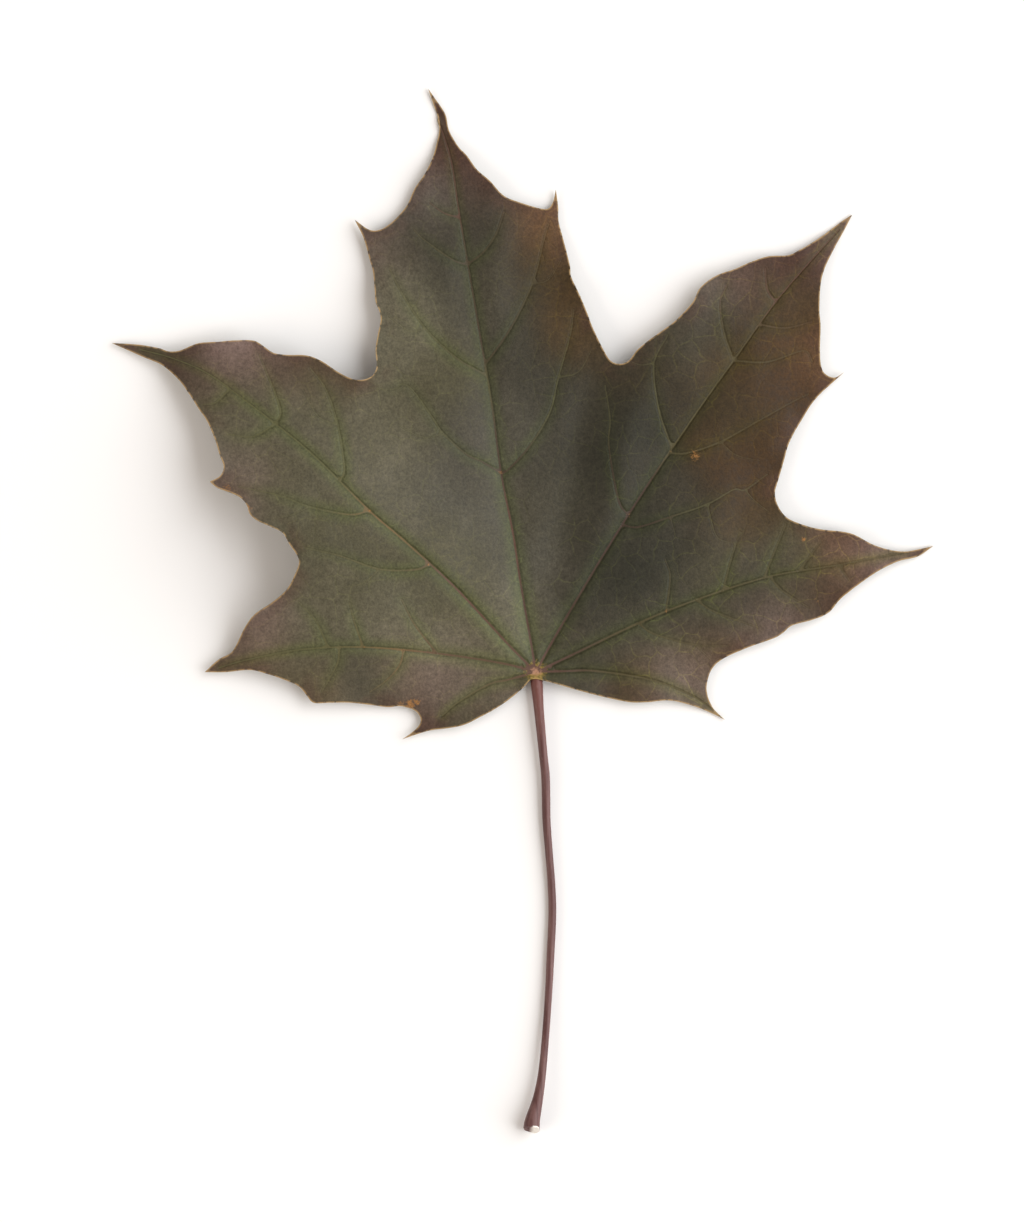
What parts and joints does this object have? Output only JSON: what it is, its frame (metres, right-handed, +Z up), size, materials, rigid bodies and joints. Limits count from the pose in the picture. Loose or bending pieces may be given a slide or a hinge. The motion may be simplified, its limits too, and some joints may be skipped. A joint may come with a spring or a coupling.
{
  "type": "maple leaf",
  "caption": "Five-lobed maple leaf on a long slender stalk, gently curled, lying flat with its left side lifted.",
  "frame": {"origin": "centre of the leaf's box, on the surface that it lies on", "axes": "+Y along the middle lobe, away from the stalk; +Z up, out of the leaf's upper face"},
  "size_m": [0.1478, 0.1878, 0.0115],
  "materials": {
    "leaf": "dark olive green to purple brown, waxy satin upper face, paler matt underside, green and reddish veins"
  },
  "bodies": {
    "root": {"maple_leaf": "leaf"}
  },
  "joints": []
}
